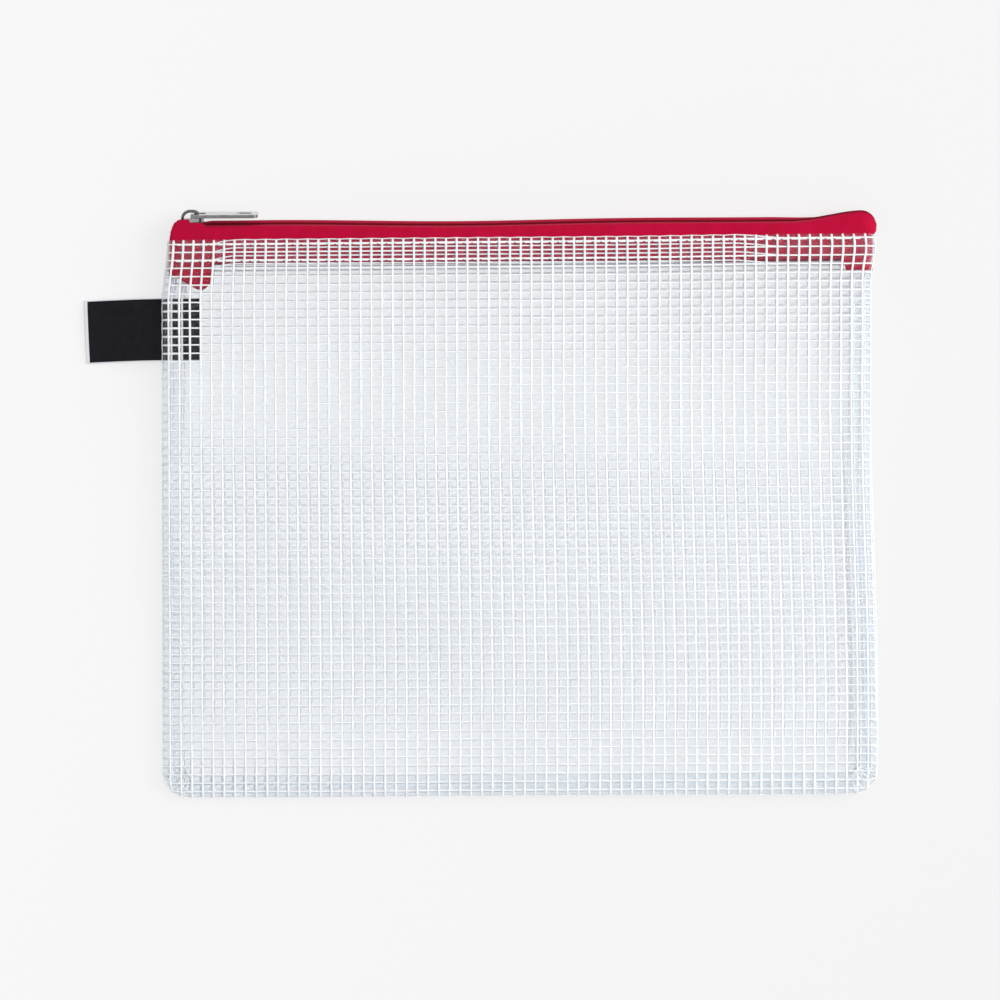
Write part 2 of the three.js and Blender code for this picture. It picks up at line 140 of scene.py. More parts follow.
lobe_rise, lobe_lift = 3.7, 1.6  # outwards and upwards
lobe_bend = 5.5
lobe_front_angle, lobe_back_angle = math.radians(38), math.radians(62)
left_turn_x, right_turn_x = -116.2, 115.8  # where the ends start to close
right_end, right_end_upper, right_upper_span = 3.7, 1.5, (91.4, 93)  # reach of the rounded end
right_end_slant, right_slant_y = 0.09, 96
right_round_y = 94.8  # above it the right end is round
cap_z, cap_rise = 10.95, 0.15  # fold of tape over the nose of the closed slider
cap_root = -3  # where the fold starts, from the centre line
cap_thickness = 0.3
cap_corner_x, cap_corner_end, cap_corner_slant = -117.2, -115, 0.35
cap_corner_width, cap_corner_drop = 1.6, 1.2

# Coil
coil_pitch = 1.3
filament_radius = 0.27
coil_head = -0.7  # past the centre line
coil_heel = 2.3
coil_depth = 1.18  # middle of the tape to the middle of the coil
coil_half_height = 0.26
coil_steps = 10  # points on one turn
coil_parting = 1.3  # how far a row stands back from the centre line inside the slider
coil_parted, coil_closed = 1.5, 4.5  # from the row's start

# Label
label_y = (label_low[1] + label_high[1]) / 2 + 0.85
label_half = (label_high[1] - label_low[1]) / 2 + 0.25
label_tip_x = label_low[0] - 0.3
label_tail_x = label_high[0]
label_spacing = 0.6
label_thickness = 0.22
label_rows = 45  # of points on each of its two layers
label_tip_z = 1.1
selvage = 0.35
tip_strip = 1.5
label_curl, curl_reach, curl_phase = 0.35, 5, 1
label_skew, label_swing = 0.035, 0.02

# Photograph's view: its frame is view_width wide on the pouch, which lies slightly turned in it
view_x, view_y, view_z = -6.65, 2.67, 6
view_turn = 0.4  # degrees
view_width = 338
lens = 120
sensor = 36

# Light and floor
floor_size = 3.0  # metres
floor_z = -0.02
floor_diffuse, floor_bounce = 0.23, 0.87
floor_glow = 0.679
floor_slope = 0.19
world_strength = 0.5
overhead_strength = 0.3
horizon_strength = 0.47
overhead_aim = -0.3, -0.25, 1
overhead_core, overhead_edge = 22, 42  # degrees from the middle of the dark patch

# Clear film
film_haze = 0.006
film_ior = 1.18
most_gloss = 0.2
film_roughness = 0.12
film_wrinkle, film_swell = 0.2, 0.16  # heights of the two bumps


# Meshes


def grid_faces(rows, columns, closed=False):
    """Quads of a grid of points; closed joins the last column to the first."""
    wide = columns if closed else columns - 1
    i, j = np.meshgrid(np.arange(rows - 1), np.arange(wide), indexing="ij")
    a = i * columns + j
    b = i * columns + (j + 1) % columns
    faces = np.stack([a, b, b + columns, a + columns], axis=-1)
    return faces.reshape(-1, 4)


def make_piece(name, parts, materials):
    """Object made of parts. Each is its points, a list of arrays of faces, and its material's index."""
    points = np.concatenate([part[0].reshape(-1, 3) for part in parts])
    faces = []
    indices = []
    start = 0
    for part_points, part_faces, index in parts:
        for block in part_faces:
            faces += (np.asarray(block) + start).tolist()
            indices += [index] * len(block)
        start += part_points.reshape(-1, 3).shape[0]
    mesh = bpy.data.meshes.new(name)
    mesh.from_pydata((points * MM).tolist(), [], faces)
    for material in materials:
        mesh.materials.append(material)
    mesh.polygons.foreach_set("material_index", indices)
    mesh.polygons.foreach_set("use_smooth", [True] * len(faces))
    mesh.update()
    piece = bpy.data.objects.new(name, mesh)
    bpy.context.scene.collection.objects.link(piece)
    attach(piece, "pouch")
    return piece


def strand(path, across, reach_across, reach_out, lift=0.0):
    """Thread or filament along a path, with across pointing to its side."""
    along = np.gradient(path, axis=0)
    out = unit(np.cross(along, across))
    across = unit(np.cross(out, along))
    centre = path + out * np.reshape(lift, (-1, 1))
    angles = np.arange(strand_sides) / strand_sides * 2 * math.pi
    ring = across[:, None] * np.cos(angles)[:, None] * reach_across
    ring = ring + out[:, None] * np.sin(angles)[:, None] * reach_out
    points = centre[:, None] + ring
    first_cap = np.arange(strand_sides)[None]
    last_cap = first_cap[:, ::-1] + (len(path) - 1) * strand_sides
    faces = [grid_faces(len(path), strand_sides, closed=True), first_cap, last_cap]
    return points.reshape(-1, 3), faces


def unit(vectors):
    return vectors / np.maximum(np.linalg.norm(vectors, axis=-1, keepdims=True), 1e-9)


def smoothstep(value, low, high):
    """Smooth rise from 0 at low to 1 at high."""
    share = np.clip((value - low) / (high - low), 0, 1)
    return share * share * (3 - 2 * share)


def downstep(value, high, low):
    """Smooth rise from 0 at high to 1 at low, on the way down."""
    return smoothstep(-value, -high, -low)


def ripple(x, y, seed, shortest, longest, height):
    """Smooth seeded unevenness made of waves in all directions."""
    random = np.random.default_rng(seed)
    total = np.zeros_like(x)
    for _ in range(ripple_waves):
        length = random.uniform(shortest, longest)
        angle, phase = random.uniform(0, 2 * math.pi, 2)
        total += np.sin((x * math.cos(angle) + y * math.sin(angle)) * 2 * math.pi / length + phase)
    return total * height / math.sqrt(ripple_waves)


# Film panels. A point of a panel is given in flat coordinates s and t, which are X and Y in the
# open part of the panel and run on round the edge into the allowance and over the fold into the hem.

flat_half = half_width - edge_round + edge_wrap
flat_bottom = bottom_y + edge_round - edge_wrap
flat_corner = corner_radius - edge_round + edge_wrap
fold_radius = hem_spacing / 2
fold_base = mouth_y - fold_radius - film_thickness / 2
hem_end = fold_base + math.pi * fold_radius + hem_depth


def crown_height(x, y, side):
    """Middle of the film away from the edges. side is 1 for the front and -1 for the back."""
    if side > 0:
        slope = (front_mouth_z - front_low_z) / (mouth_y - bottom_y)
        calm = 1 - hem_calm * smoothstep(y, *calm_span)
        uneven = ripple(x, y, seed=3, shortest=45, longest=110, height=0.55)
        uneven = uneven + ripple(x, y, seed=4, shortest=16, longest=34, height=0.1)
        return front_low_z + slope * (y - bottom_y) + calm * uneven
    return back_z + back_swell + ripple(x, y, seed=5, shortest=40, longest=90, height=0.1)


def seam_height(y):
    """Height of the side seams over the floor."""
    return seam_low + (seam_high - seam_low) * (y - bottom_y) / (mouth_y - bottom_y)


def edge_distance(s, t):
    """Distance inwards from the outline of the flat panel, and the direction inwards."""
    side = flat_half - np.abs(s)
    low = t - flat_bottom
    beside = side < low
    distance = np.where(beside, side, low)
    in_x = np.where(beside, -np.sign(s), 0.0)
    in_y = np.where(beside, 0.0, 1.0)
    corner_x = np.abs(s) - (flat_half - flat_corner)
    corner_y = flat_bottom + flat_corner - t
    rounded = (corner_x > 0) & (corner_y > 0)
    reach = np.maximum(np.hypot(corner_x, corner_y), 1e-9)
    distance = np.where(rounded, flat_corner - reach, distance)
    in_x = np.where(rounded, -np.sign(s) * corner_x / reach, in_x)
    in_y = np.where(rounded, corner_y / reach, in_y)
    return distance, in_x, in_y


def lean(x, y):
    """The outline strays from a true rectangle, as a soft pouch does when it is laid down."""
    share = 0.5 + x / (2 * half_width)
    right = right_start + right_swing * downstep(y, *right_span)
    top_left = np.clip(1 - share, 0, 1) ** top_left_power * top_left_pull * smoothstep(y, *top_left_span)
    nearness = np.exp(-(((y - top_right_y) / top_right_reach) ** 2))
    top_right = np.clip(share, 0, 1) ** top_right_power * top_right_pull * nearness
    across = right * share - left_shift + y * math.radians(view_turn) + top_left + top_right
    tilt = x * mouth_tilt * y / mouth_y
    dip = mouth_dip * smoothstep(y, *dip_span_y) * (1 - smoothstep(x, *dip_span_x))
    return x + across, y + (tilt - dip)


def outer_point(s, t, side):
    """Point of a panel round its edges and into its allowances, before its hem is folded."""
    distance, in_x, in_y = edge_distance(s, t)
    past = np.maximum(edge_wrap - distance, 0)
    base_x = s + in_x * past
    base_y = t + in_y * past
    turn = np.clip(distance / edge_wrap, 0, 1) * math.pi / 2
    inside = np.maximum(-distance, 0)
    out = np.where(distance < edge_wrap, edge_round * np.cos(turn) - inside, 0)
    x = base_x - in_x * out
    y = base_y - in_y * out
    seam = seam_height(y)
    edge_z = seam + side * (allowance_gap / 2 + seam_turn * np.exp(-inside / seam_turn))
    crown = crown_height(base_x, base_y, side)
    z = edge_z + (crown - edge_z) * np.sin(turn)
    x, y = lean(x, y)
    return np.stack([x, y, z], axis=-1)


def outer_normal(s, t, side):
    step = 0.15
    across = outer_point(s + step, t, side) - outer_point(s - step, t, side)
    along = outer_point(s, t + step, side) - outer_point(s, t - step, side)
    return side * unit(np.cross(across, along))


def film_point(s, t, side):
    """Point of a panel with its hem folded in at the mouth."""
    past = t - fold_base
    turn = np.clip(past / fold_radius, 0, math.pi)
    inside = np.maximum(past - math.pi * fold_radius, 0)
    y = np.minimum(t, fold_base) - inside
    point = outer_point(s, y, side)
    normal = outer_normal(s, y, side)
    point = point - normal * (fold_radius * (1 - np.cos(turn)))[..., None]
    point[..., 1] += fold_radius * np.sin(turn)
    return point


def strays(s, t, side):
    """How far the threads lie off their regular places, across and up. The two panels don't line
    up, and nor do the two layers of the front hem away from its ends."""
    if side > 0:
        inner = t > fold_base + fold_radius * math.pi / 2
        y = np.where(inner, 2 * fold_base + math.pi * fold_radius - t, t)
        share = 0.5 + s / (2 * half_width)
        drop = (row_drop + row_drop_gain * share) * smoothstep(y, *drop_span)
        drop = drop + row_squeeze * (1 - share) * np.clip((y - squeeze_low) / squeeze_reach, 0, 1)
        middle = smoothstep(s, *layers_part) * (1 - smoothstep(s, *layers_meet))
        return np.zeros_like(s), np.where(inner, drop - row_pitch / 2 * middle, -drop)
    depth = (front_mouth_z + front_low_z) / 2 / (view_width * lens / sensor)
    drift = column_drift * downstep(t, *drift_grows) * (1 - downstep(t, *drift_fades))
    across = (s - view_x) * depth + drift
    up = (t - view_y) * depth + row_pitch * downstep(t, *row_slip_span)
    return across, up


def film_panel(name, side, node, material):
    """Film of one panel: the field, and the rim that turns into the allowances."""
    # Rows of points up the side, through the fold and down the hem
    heights = list(np.arange(flat_bottom + flat_corner + film_step, fold_base - film_step / 2, film_step))
    heights += [fold_base - fold_lead + fold_radius * math.pi * i / 4 for i in range(-1, 9)]
    heights += [hem_end - hem_step * i for i in (2, 1, 0)]
    inner_corner = flat_corner - edge_wrap
    left = [(-flat_half + edge_wrap, t, 1.0, 0.0) for t in reversed(heights)]
    for i in range(corner_steps + 1):
        angle = i / corner_steps * math.pi / 2
        in_x, in_y = math.cos(angle), math.sin(angle)
        x = -flat_half + flat_corner - inner_corner * in_x
        left.append((x, flat_bottom + flat_corner - inner_corner * in_y, in_x, in_y))
    bottom_x, low_t = -left[-1][0], left[-1][1]
    bottom = [(x, low_t, 0.0, 1.0) for x in np.linspace(-bottom_x, bottom_x, film_columns)[1:-1]]
    right = [(-x, t, -in_x, in_y) for x, t, in_x, in_y in reversed(left)]
    stations = np.array(left + bottom + right)
    # Rows of the rim, from where the film starts to turn to the cut edge of the allowance
    turns = list(np.linspace(edge_wrap, 0, 7)) + [-0.3, -0.7, -2, -4.5, -allowance]
    reach = edge_wrap - np.array(turns)
    rim_s = stations[:, 0, None] - stations[:, 2, None] * reach
    rim_t = stations[:, 1, None] - stations[:, 3, None] * reach
    rim = film_point(rim_s, rim_t, side)
    share = np.linspace(-1, 1, film_columns)
    field_s = np.array([-station[0] * share for station in left])
    field_t = np.array([np.full(film_columns, station[1]) for station in left])
    field = film_point(field_s, field_t, side)
    rim_faces = grid_faces(*rim.shape[:2])
    field_faces = grid_faces(*field.shape[:2])
    if side > 0:
        rim_faces = rim_faces[:, ::-1]
    else:
        field_faces = field_faces[:, ::-1]
    parts = [(field, [field_faces], 0), (rim, [rim_faces], 0)]
    piece = make_piece(name, parts, [material])
    pairs = [np.stack(pair, -1).reshape(-1, 2) for pair in ((field_s, field_t), (rim_s, rim_t))]
    add_flat_map(piece, np.concatenate(pairs) / (column_pitch, row_pitch))
    weld(piece)
    solidify(piece, film_thickness)
    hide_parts(node)
    return piece


def add_flat_map(piece, places):
    """Map with a place for each point of the mesh."""
    layer = piece.data.uv_layers.new(name="flat")
    corners = np.zeros(len(piece.data.loops), int)
    piece.data.loops.foreach_get("vertex_index", corners)
    layer.data.foreach_set("uv", places[corners].astype(np.float32).ravel())


def weld(piece):
    modifier = piece.modifiers.new("join", "WELD")
    modifier.merge_threshold = 0.01 * MM


def solidify(piece, thickness):
    modifier = piece.modifiers.new("thickness", "SOLIDIFY")
    modifier.thickness = thickness * MM
    modifier.offset = 0


def cut_reach(away):
    """Half the flat panel's size out to the cut edge, where the other coordinate is away past the
    middle of a corner."""
    radius = flat_corner + allowance
    return math.sqrt(max(radius**2 - max(away, 0) ** 2, 0))


def thread_stops(low, high, crossings, fine_zones):
    """Places along a thread: its crossings, and close steps where it turns."""
    stops = [low, high] + [c for c in crossings if low < c < high]
    for start, end in fine_zones:
        stops += list(np.arange(max(start, low), min(end, high), turn_step))
    stops = np.unique(np.round(stops, 3))
    keep = np.append(True, np.diff(stops) > least_step)
    return stops[keep]


def mesh_threads(name, side, material):
    """Woven threads of one panel, with those in its hem and allowances."""
    reach = flat_half + allowance
    numbers = np.arange(-100, 100)
    columns = numbers * column_pitch + column_phase
    columns = columns[np.abs(columns) < reach]
    rows = numbers * row_pitch + row_phase
    rows = rows[(rows > flat_bottom - allowance) & (rows < fold_base)]
    mirrored = 2 * fold_base + math.pi * fold_radius - rows
    rows = np.concatenate([rows, mirrored[mirrored < hem_end - hem_margin][::-1]])
    parts = []
    for index, s in enumerate(columns):
        if abs(s) > reach - cut_margin:
            continue
        away = abs(s) - (flat_half - flat_corner)
        low = flat_bottom + flat_corner - cut_reach(away)
        turn_zone = (low, low + allowance + edge_wrap + turn_margin)
        fold_zone = (fold_base - before_fold, fold_base + after_fold)
        t = thread_stops(low, hem_end, rows, [turn_zone, fold_zone])
        lift = weave_height * np.cos(math.pi * ((t - row_phase) / row_pitch + index))
        parts.append(thread(np.full_like(t, s), t, side, True, column_width, lift))
    for index, t in enumerate(rows):
        away = flat_bottom + flat_corner - t
        high = flat_half - flat_corner + cut_reach(away)
        left_zone = (-high, -high + allowance + edge_wrap + turn_margin)
        right_zone = (high - allowance - edge_wrap - turn_margin, high)
        s = thread_stops(-high, high, columns, [left_zone, right_zone])
        lift = -weave_height * np.cos(math.pi * ((s - column_phase) / column_pitch + index))
        parts.append(thread(s, np.full_like(s, t), side, False, row_width, lift))
    return make_piece(name, parts, [material])


def thread(s, t, side, upright, width, lift, loose=True):
    """Thread of a panel. A loose one strays, but an upright one only to its side."""
    if loose:
        off_s, off_t = strays(s, t, side)
        s, t = s + off_s, t + (0 if upright else off_t)
    path = film_point(s, t, side)
    step = 0.1
    if upright:
        across = film_point(s + step, t, side) - film_point(s - step, t, side)
    else:
        across = film_point(s, t + step, side) - film_point(s, t - step, side)
    points, faces = strand(path, across, width / 2, thread_thickness / 2, lift=lift)
    return points, faces, 0


def hem_stitches(name, side, material):
    """Two rows that hold the hem to the zipper tape."""
    parts = []
    for below in stitch_rows:
        for start in np.arange(-half_width + stitch_left, half_width - stitch_right, stitch_pitch):
            s = start + np.linspace(0, stitch_length, len(stitch_arch))
            t = np.full_like(s, fold_base - below)
            lift = side * (film_thickness / 2 + stitch_width * stitch_arch)
            parts.append(thread(s, t, side, False, stitch_width, lift, loose=False))
    return make_piece(name, parts, [material])


# Zipper


def chain_centre(x):
    """Y and Z of the centre line, which curls out and up at the right end."""
    curl = smoothstep(x, lobe_start, lobe_end)
    sag = chain_sag * np.exp(-(((x - chain_sag_x) / chain_sag_reach) ** 2))
    return chain_y + lobe_rise * curl - sag, chain_z + lobe_lift * curl


def half_angle(x, half):
    """Angle of a half tape's face over the table, from its seam towards the centre line."""
    curl = smoothstep(x, lobe_start, lobe_end)
    if half > 0:
        return chain_angle + (lobe_front_angle - chain_angle) * curl
    slack = smoothstep(x, *slack_starts) * (1 - smoothstep(x, *slack_ends))
    upright = math.pi - chain_angle + slack_angle * slack
    return upright + (lobe_back_angle - upright) * curl


def tape_edge_y(x, half):
    """Lower edge of a half tape, with its end tucked further down inside."""
    if half < 0:
        return np.full_like(x, tape_low_y)
    left_x = [-118.5, -117, -108.3, -106.3, -105.2, -103.6, -103]
    left_depth = [2, 3.6, 8.8, 9.2, 8.5, 6.8, 0]
    right_x, right_depth = [109.6, 110.1, 116.4, 117], [0, 3.9, 3.9, 0]
    return tape_low_y - np.interp(x, left_x, left_depth) - np.interp(x, right_x, right_depth)


def tape_section(x, half):
    """Points of a half tape at x, from the centre line to the edge inside the pouch."""
    centre_y, centre_z = chain_centre(x)
    angle = half_angle(x, half)
    if half > 0:
        bend = tape_bend + (lobe_bend - tape_bend) * smoothstep(x, lobe_start, lobe_end)
        rise = crown_height(x, mouth_y - 1, 1) - tape_drop - centre_z
    else:
        bend = tape_bend
        rise = centre_z - back_tape_z
    straight = (rise - bend * (1 - math.cos(angle))) / math.sin(angle)
    points = []
    for share in (0, 0.05, 0.11, 0.18, 0.28, 0.5, 0.75, 1):
        along = tape_gap / 2 + (straight - tape_gap / 2) * share
        curl = edge_curl * max(0, 1 - (along - tape_gap / 2) / edge_curl_reach) ** 2
        y = centre_y - along * math.cos(angle) - curl * math.sin(angle)
        points.append((y, centre_z + half * (along * math.sin(angle) - curl * math.cos(angle))))
    start_y = centre_y - straight * math.cos(angle)
    for share in np.linspace(0, 1, 8)[1:]:
        left = angle * (1 - share)
        out = bend * (math.sin(angle) - math.sin(left))
        up = bend * (math.cos(left) - math.cos(angle))
        points.append((start_y - out, centre_z + half * (straight * math.sin(angle) + up)))
    end_y = points[-1][0]
    place = np.array(float(x))
    edge_y = float(tape_edge_y(place, half))
    for share in np.linspace(0, 1, 9)[1:]:
        y = end_y + (edge_y - end_y) * share
        z = float(crown_height(place, np.array(y), 1)) - tape_drop if half > 0 else back_tape_z
        points.append((y, z))
    return points


def closed_end(x, y, z, half, turn):
    """A point of the tape's end, which rounds off and closes onto the side seam."""
    out = math.sin(turn)
    shut = seam_height(y) + half * allowance_gap / 2
    z = shut + (z - shut) * math.cos(turn)
    if x > 0:
        upper = smoothstep(y, *right_upper_span)
        x += out * (right_end + right_end_upper * upper - right_end_slant * max(0, y - right_slant_y))
        if y > right_round_y:
            y = right_round_y + (y - right_round_y) * math.cos(turn)
    else:
        outline_y = [88, 91.6, 95, 96.7, 97.9, 98.5]
        outline_out = [1.5, 1.3, 0.2, -0.35, -1.4, -1.9]
        x -= out * np.interp(y, outline_y, outline_out)
    return x, y, z


def tape(name, half, node, material):
    """One half of the tape. half is 1 for the front and -1 for the back."""
    stations = [(left_turn_x, turn) for turn in np.linspace(math.pi / 2, 0, 9)[:-1]]
    stations += [(x, 0.0) for x in np.arange(left_turn_x, even_start, left_step)]
    stations += [(x, 0.0) for x in np.arange(even_start, even_end, even_step)]
    stations += [(x, 0.0) for x in np.arange(even_end, right_turn_x, right_step)]
    stations += [(right_turn_x, turn) for turn in np.linspace(0, math.pi / 2, 11)]
    rows = []
    for x, turn in stations:
        wave = tape_wave * math.sin(x / tape_wave_reach) * smoothstep(x, *tape_wave_span)
        section = tape_section(x, half)
        rows.append([closed_end(x, y + wave, z, half, turn) for y, z in section])
    points = np.array(rows)
    faces = grid_faces(*points.shape[:2])
    if half < 0:
        faces = faces[:, ::-1]
    piece = make_piece(name, [(points, [faces], 0)], [material])
    along = np.linalg.norm(np.diff(points, axis=1), axis=2).cumsum(axis=1)
    along = np.concatenate([np.zeros((len(points), 1)), along], axis=1)
    add_flat_map(piece, np.stack([points[..., 0], along], -1).reshape(-1, 2))
    solidify(piece, tape_thickness)
    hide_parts(node)
    return piece


def tape_fold(name, material):
    """The left end of the front half is folded over the nose of the closed slider."""
    outline_x = [-117, -116.4, -115.9, -114.8, -114.2, -110.6, -110.3, -106, -105.3, -104]
    outline_out = [-3, -1.6, -0.3, 0.9, 1.4, 1.45, 0.35, 0.25, -0.8, -2]
    places = list(np.linspace(-117, -110.6, 24)) + [-110.45, -110.3]
    places += [-109, -107.5, -106, -105.6, -105, -104.5, -104]
    columns = []
    for x in places:
        reach = np.interp(x, outline_x, outline_out)
        column = []
        for out in cap_root + (reach - cap_root) * np.linspace(0, 1, 18):
            z = cap_z + cap_rise * smoothstep(out, cap_root, -1)
            if x < cap_corner_end:
                flat = min(1, (x - cap_corner_x - cap_corner_slant * (out - cap_root)) / cap_corner_width)
                z -= cap_corner_drop * (1 - math.sqrt(1 - (1 - flat) ** 2))
            column.append((x, chain_y + out, z))
        columns.append(column)
    points = np.array(columns)
    faces = grid_faces(*points.shape[:2])
    piece = make_piece(name, [(points, [faces], 0)], [material])
    add_flat_map(piece, points[..., :2].reshape(-1, 2))
    solidify(piece, cap_thickness)
    return piece


def coil(name, half, node, material):
    """One row of the chain as a wound filament, half a turn off the other row."""
    start, end = coil_low[0], coil_high[0]
    turns = int((end - start) / coil_pitch)
    phase = np.arange(turns * coil_steps + 1) / coil_steps * 2 * math.pi
    x = start + (phase / (2 * math.pi) + (0.5 if half > 0 else 0)) * coil_pitch
    across = (coil_head + coil_heel) / 2 - (coil_heel - coil_head) / 2 * np.cos(phase)
    depth = coil_depth + coil_half_height * np.sin(phase)
    across = across + coil_parting * (1 - smoothstep(x, start + coil_parted, start + coil_closed))
    centre_y, centre_z = chain_centre(x)
    angle = half_angle(x, half)
    away_y, away_z = -np.cos(angle), half * np.sin(angle)
    in_y, in_z = -np.sin(angle), -half * np.cos(angle)
    y = centre_y + across * away_y + depth * in_y
    z = centre_z + across * away_z + depth * in_z
    path = np.stack([x, y, z], axis=-1)
    off_path = np.array([1.0, 0.2, 0.1])  # any direction that the path never takes
    side = np.cross(np.gradient(path, axis=0), off_path)
    points, faces = strand(path, side, filament_radius, filament_radius)
    piece = make_piece(name, [(points, faces, 0)], [material])
    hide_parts(node)
    return piece


# Label


def label_piece(name, material, selvage_material):
    """One ribbon folded at its outer end, with pale selvages and a pale strip at the fold."""
    radius = label_spacing / 2
    tip = label_tip_x + radius + label_thickness / 2
    path = [(x, radius) for x in np.linspace(label_tail_x, tip, label_rows)]
    for angle in np.linspace(0, math.pi, 7)[1:-1]:
        path.append((tip - radius * math.sin(angle), radius * math.cos(angle)))
    path += [(x, -radius) for x in np.linspace(tip, label_tail_x, label_rows)]
    widths = [-label_half, -label_half + selvage]
    widths += list(np.linspace(-label_half + 2, label_half - 2, 9))
    widths += [label_half - selvage, label_half]
    points = []
    for x, offset in path:
        out = np.clip((-half_width - x) / (-half_width - label_tip_x), 0, 1)
        row = []
        for width in widths:
            y = label_y + width
            base = seam_height(y) + (label_tip_z - seam_height(y)) * smoothstep(out, 0, 1)
            curl = label_curl * math.sin(width / curl_reach + curl_phase) * smoothstep(out, 0.1, 1)
            swing = label_swing * (x + half_width) * out
            row.append((x - label_skew * width * out, y + swing, base + offset + curl))
        points.append(row)
    points = np.array(points)
    faces = grid_faces(*points.shape[:2])
    columns = len(widths) - 1
    order = np.arange(len(faces))
    path_x = np.array(path)[:, 0]
    middle_x = (path_x[1:] + path_x[:-1])[order // columns] / 2
    edge = (order % columns == 0) | (order % columns == columns - 1)
    edge = edge | (middle_x < label_tip_x + tip_strip)
    piece = make_piece(name, [(points, [faces], 0)], [material, selvage_material])
    piece.data.polygons.foreach_set("material_index", edge.astype(int))
    steps = np.linalg.norm(np.diff(np.array(path), axis=0), axis=1)
    along = np.append(0, steps.cumsum())
    flat = np.stack(np.broadcast_arrays(along[:, None], np.array(widths)), -1)
    add_flat_map(piece, flat.reshape(-1, 2))
    solidify(piece, label_thickness)
    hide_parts("label_ribbon")
    return piece


# Materials. The map called flat is in millimetres on the tapes and the label, and in cells of the
# mesh on the film.


def linear(colour):
    """Linear values of an sRGB colour given in 0 to 255."""
    return [((c / 255 + 0.055) / 1.055) ** 2.4 if c > 10 else c / 255 / 12.92 for c in colour]


def new_material(name, colour, roughness, **settings):
    """Settings are the shader's own sockets, with underscores for spaces."""
    material = bpy.data.materials.new(name)
    material.use_nodes = True
    shader = material.node_tree.nodes["Principled BSDF"]
    shader.inputs["Base Color"].default_value = (*linear(colour), 1)
    shader.inputs["Roughness"].default_value = roughness
    for socket, value in settings.items():
        shader.inputs[socket.replace("_", " ")].default_value = value
    return material, shader


def add_node(material, kind, **values):
    node = material.node_tree.nodes.new(kind)
    for name, value in values.items():
        if name in node.inputs:
            node.inputs[name].default_value = value
        else:
            setattr(node, name, value)
    return node


def link(material, source, target):
    material.node_tree.links.new(source, target)


def calculate(material, operation, *values):
    node = add_node(material, "ShaderNodeMath", operation=operation)
    for place, value in enumerate(values):
        if isinstance(value, (int, float)):
            node.inputs[place].default_value = value
        else:
            link(material, value, node.inputs[place])
    return node.outputs[0]


def flat_place(material):
    return add_node(material, "ShaderNodeUVMap", uv_map="flat").outputs["UV"]


def noise(material, place, scale, detail=2.0):
    texture = add_node(material, "ShaderNodeTexNoise", Scale=scale, Detail=detail)
    link(material, place, texture.inputs["Vector"])
    return texture.outputs[0]


def ribs(material, place, direction, period, distortion):
    """Waves with crests across one direction of the map, a period apart."""
    texture = add_node(material, "ShaderNodeTexWave", Scale=math.pi / 10 / period, Distortion=distortion)
    texture.bands_direction = direction
    link(material, place, texture.inputs["Vector"])
    return texture.outputs["Fac"]


def shade(material, shader, share, *colours):
    """Base colour that goes through two or three evenly spaced colours with share."""
    ramp = add_node(material, "ShaderNodeValToRGB")
    for _ in colours[2:]:
        ramp.color_ramp.elements.new(0.5)
    for element, colour in zip(ramp.color_ramp.elements, colours):
        element.color = (*linear(colour), 1)
    link(material, share, ramp.inputs[0])
    link(material, ramp.outputs[0], shader.inputs["Base Color"])


def emboss(material, shader, height, depth, below=None):
    """Bump of a height in millimetres."""
    bump = add_node(material, "ShaderNodeBump", Strength=1.0, Distance=depth * MM)
    link(material, height, bump.inputs["Height"])
    if below is not None:
        link(material, below, bump.inputs["Normal"])
    link(material, bump.outputs["Normal"], shader.inputs["Normal"])
    return bump.outputs["Normal"]


def film_material():
    """Clear film that swells a little in each cell of the mesh, with the gloss of soft plastic."""
    material = bpy.data.materials.new("clear_film")
    material.use_nodes = True
    material.node_tree.nodes.remove(material.node_tree.nodes["Principled BSDF"])
    output = material.node_tree.nodes["Material Output"]
    clear = add_node(material, "ShaderNodeBsdfTransparent", Color=(0.985, 0.993, 1, 1))
    haze = add_node(material, "ShaderNodeBsdfDiffuse", Color=(0.9, 0.93, 0.96, 1))
    gloss = add_node(material, "ShaderNodeBsdfGlossy", Color=(1, 1, 1, 1), Roughness=film_roughness)
    share = add_node(material, "ShaderNodeFresnel", IOR=film_ior)
    hazy = add_node(material, "ShaderNodeMixShader", Fac=film_haze)
    glossy = add_node(material, "ShaderNodeMixShader")
    link(material, clear.outputs[0], hazy.inputs[1])
    link(material, haze.outputs[0], hazy.inputs[2])
    link(material, calculate(material, "MINIMUM", share.outputs[0], most_gloss), glossy.inputs[0])
    link(material, hazy.outputs[0], glossy.inputs[1])
    link(material, gloss.outputs[0], glossy.inputs[2])
    link(material, glossy.outputs[0], output.inputs["Surface"])
    cell = add_node(material, "ShaderNodeSeparateXYZ")
    link(material, flat_place(material), cell.inputs[0])
    swell = []
    for axis, phase in ((0, column_phase / column_pitch), (1, row_phase / row_pitch)):
        from_thread = calculate(material, "SUBTRACT", cell.outputs[axis], phase)
        wave = calculate(material, "SINE", calculate(material, "MULTIPLY", from_thread, math.pi))
        swell.append(calculate(material, "ABSOLUTE", wave))
    pillow = calculate(material, "MULTIPLY", *swell)
    place = add_node(material, "ShaderNodeTexCoord").outputs["Object"]
    wrinkled = emboss(material, gloss, noise(material, place, 90.0, 3.0), film_wrinkle)
    emboss(material, gloss, pillow, film_swell, wrinkled)
    return material


def thread_material():
    """White polyester with a fine twist."""
    material, shader = new_material("white_thread", (252, 253, 254), 0.45)
    place = add_node(material, "ShaderNodeTexCoord").outputs["Object"]
    fibre = noise(material, place, 3500.0, 2.0)
    shade(material, shader, fibre, (246, 248, 252), (255, 255, 255))
    emboss(material, shader, fibre, 0.03)
    return material


